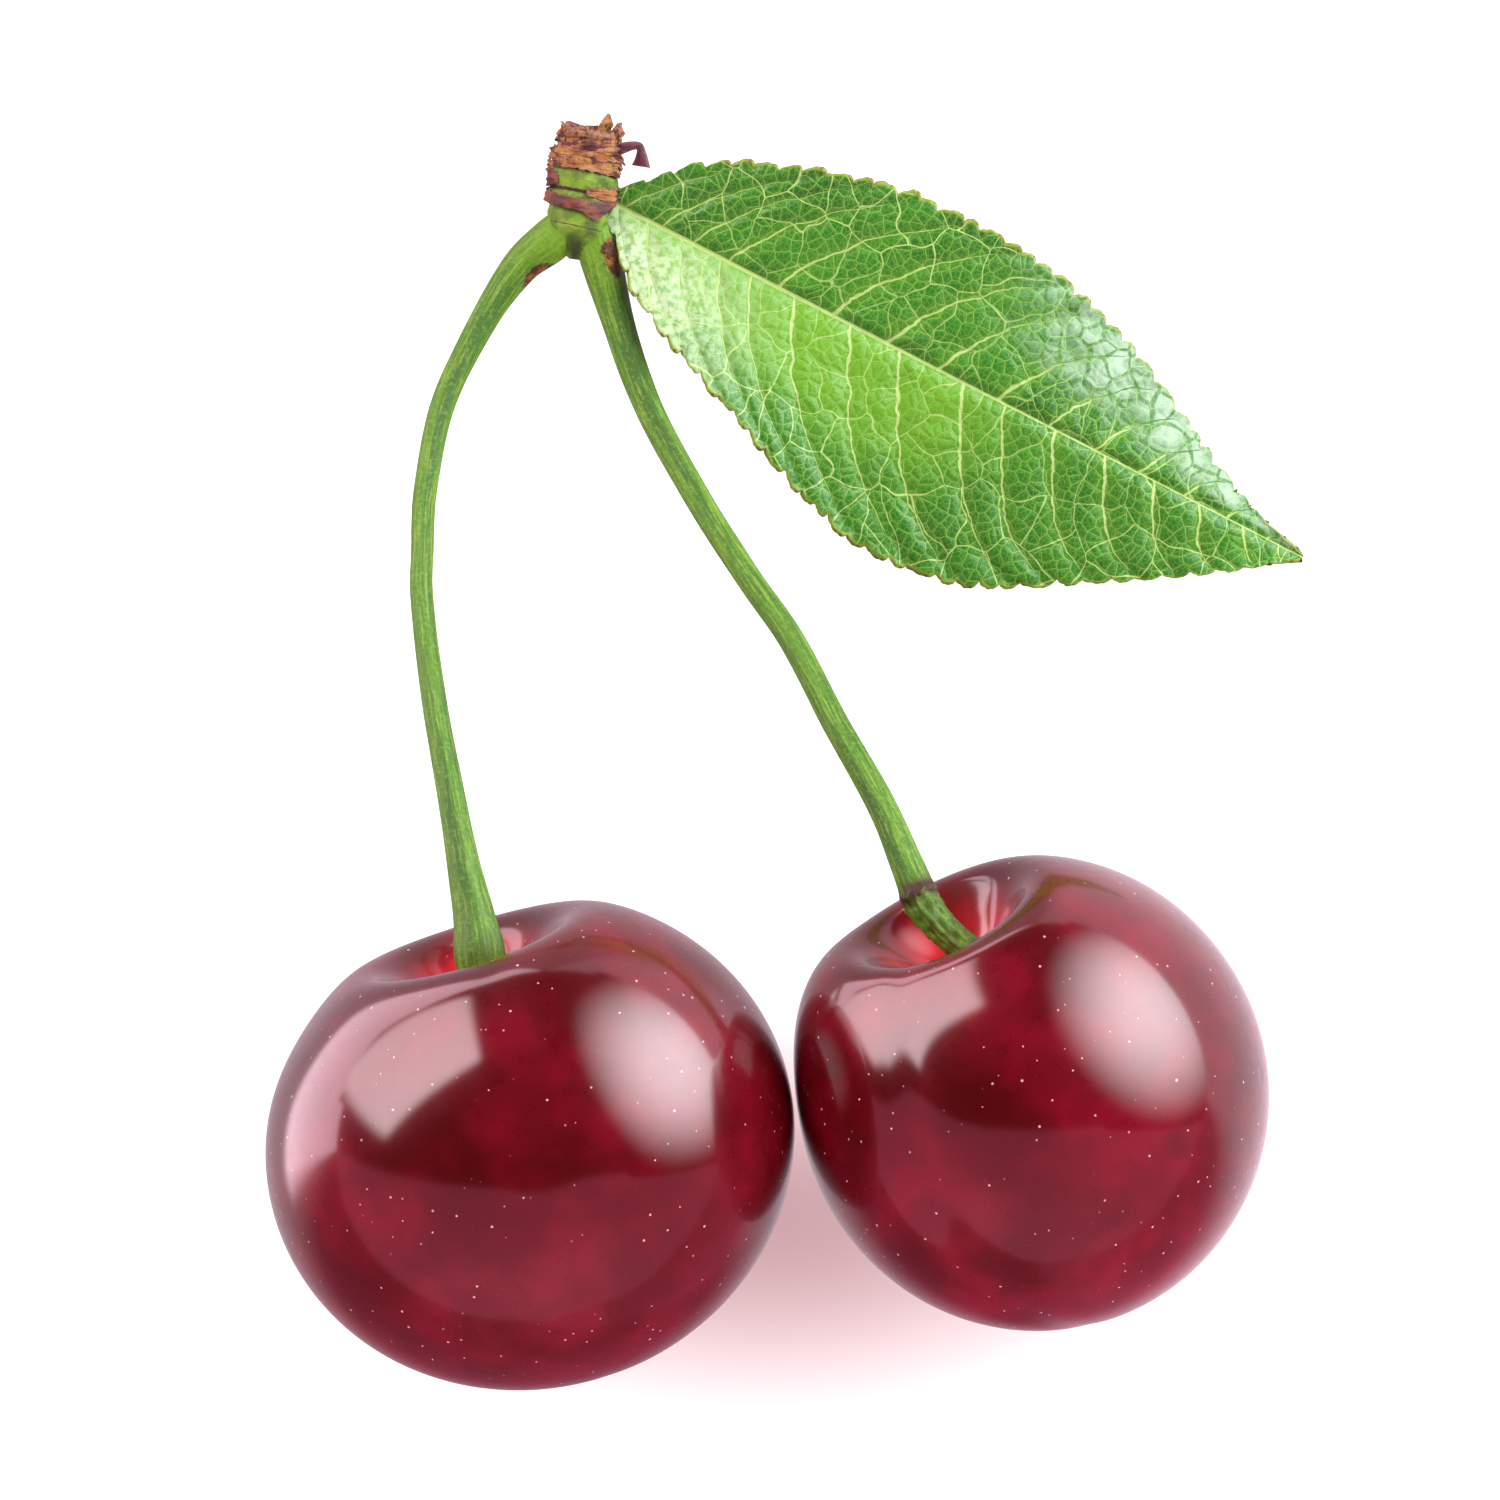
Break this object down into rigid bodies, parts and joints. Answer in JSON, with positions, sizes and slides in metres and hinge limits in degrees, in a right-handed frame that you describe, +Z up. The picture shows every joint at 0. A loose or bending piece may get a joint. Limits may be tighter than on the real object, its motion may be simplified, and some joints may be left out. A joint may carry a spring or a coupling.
{
  "type": "pair of sweet cherries on joined stalks with a leaf",
  "caption": "Dark red sweet cherries lying on long green stalks that join at a short scaly spur with one serrated green leaf.",
  "frame": {"origin": "middle of the footprint on the surface the sprig lies on", "axes": "+Y from the fruit to the spur, along the stalks; +X to the right as seen from above; +Z up from the surface"},
  "size_m": [0.0524, 0.0644, 0.0249],
  "materials": {
    "cherry_skin_left": "gloss",
    "cherry_skin_right": "gloss",
    "stalk_skin": "satin",
    "spur_bark": "matte",
    "dry_scale": "matte",
    "maroon_scale": "matte",
    "leaf_blade": "satin"
  },
  "bodies": {
    "root": {"cherry_left": "cherry_skin_left", "cherry_right": "cherry_skin_right", "stalk_left": "stalk_skin", "stalk_right": "stalk_skin", "spur": "spur_bark", "leaf": "leaf_blade", "bud_scale_band": "dry_scale", "bud_scale_left": "dry_scale", "bud_scale_front": "dry_scale", "bud_scale_point": "dry_scale", "bud_scale_right": "dry_scale", "bud_scale_curled": "maroon_scale"}
  },
  "joints": []
}
